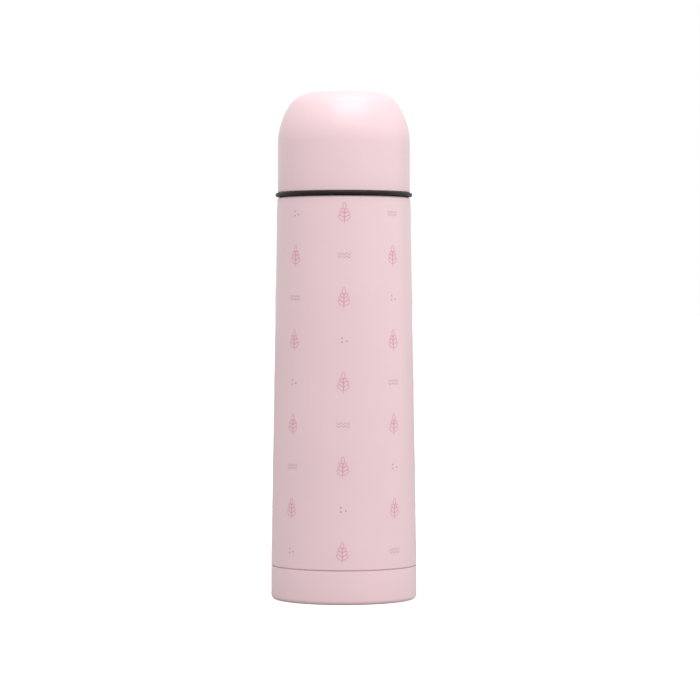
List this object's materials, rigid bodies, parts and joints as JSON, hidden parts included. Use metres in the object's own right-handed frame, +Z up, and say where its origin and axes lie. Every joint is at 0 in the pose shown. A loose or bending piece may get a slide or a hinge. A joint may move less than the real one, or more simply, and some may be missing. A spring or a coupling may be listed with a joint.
{
  "type": "vacuum flask",
  "caption": "Slim tapered double-walled steel flask with a domed screw-on cup, black collar ring and push-button stopper.",
  "frame": {"origin": "centre of the resting face at the bottom of the base cap", "axes": "+Z up along the flask's axis; -Y is the front, where the centre column of the printed pattern sits"},
  "size_m": [0.069, 0.069, 0.24],
  "materials": {
    "pink_lacquer": "satin lacquer over steel",
    "bare_steel": "brushed",
    "copper_foil": "bright foil",
    "seal_glass": "glossy",
    "getter_metal": "sintered, matt",
    "black_plastic": "satin moulded",
    "black_rubber": "matt",
    "grey_plastic": "satin moulded",
    "clear_silicone": "soft, slightly clear",
    "spring_steel": "drawn wire"
  },
  "bodies": {
    "flask": {"outer_shell": "pink_lacquer", "inner_vessel": "bare_steel", "reflective_foil": "copper_foil", "bottom_plate": "bare_steel", "vacuum_seal": "seal_glass", "getter": "getter_metal", "getter_clip": "bare_steel", "base_cap": "pink_lacquer", "neck_collar": "black_plastic", "collar_seal": "black_rubber"},
    "cup_ring": {"cup_seal": "clear_silicone"},
    "cup": {"cup_shell": "pink_lacquer", "cup_liner": "black_plastic"},
    "stopper_ring": {"stopper_gasket": "clear_silicone"},
    "stopper": {"stopper_body": "grey_plastic", "stopper_cover": "grey_plastic", "valve_spring": "spring_steel"},
    "valve": {"push_button": "black_plastic", "valve_plunger": "grey_plastic", "valve_seal": "clear_silicone"}
  },
  "joints": [
    {"name": "cup_lift", "type": "slide", "parent": "flask", "child": "cup_ring", "axis": [0, 0, 1], "range_m": [0, 0.04]},
    {"name": "cup_turn", "type": "hinge", "parent": "cup_ring", "child": "cup", "pos_m": [0, 0, 0.2], "axis": [0, 0, 1], "range_deg": [0, 1800]},
    {"name": "stopper_lift", "type": "slide", "parent": "flask", "child": "stopper_ring", "axis": [0, 0, 1], "range_m": [0, 0.01]},
    {"name": "stopper_turn", "type": "hinge", "parent": "stopper_ring", "child": "stopper", "pos_m": [0, 0, 0.2], "axis": [0, 0, 1], "range_deg": [0, 900]},
    {"name": "button_press", "type": "slide", "parent": "stopper", "child": "valve", "axis": [0, 0, -1], "range_m": [0, 0.0035], "stiffness_N_per_m": 800, "springref_m": -0.003, "deforming": ["valve_spring"]}
  ],
  "couplings": [
    {"joint": "cup_turn", "follows": "cup_lift", "rad_per_m": 785.4},
    {"joint": "stopper_turn", "follows": "stopper_lift", "rad_per_m": 1570.8}
  ]
}
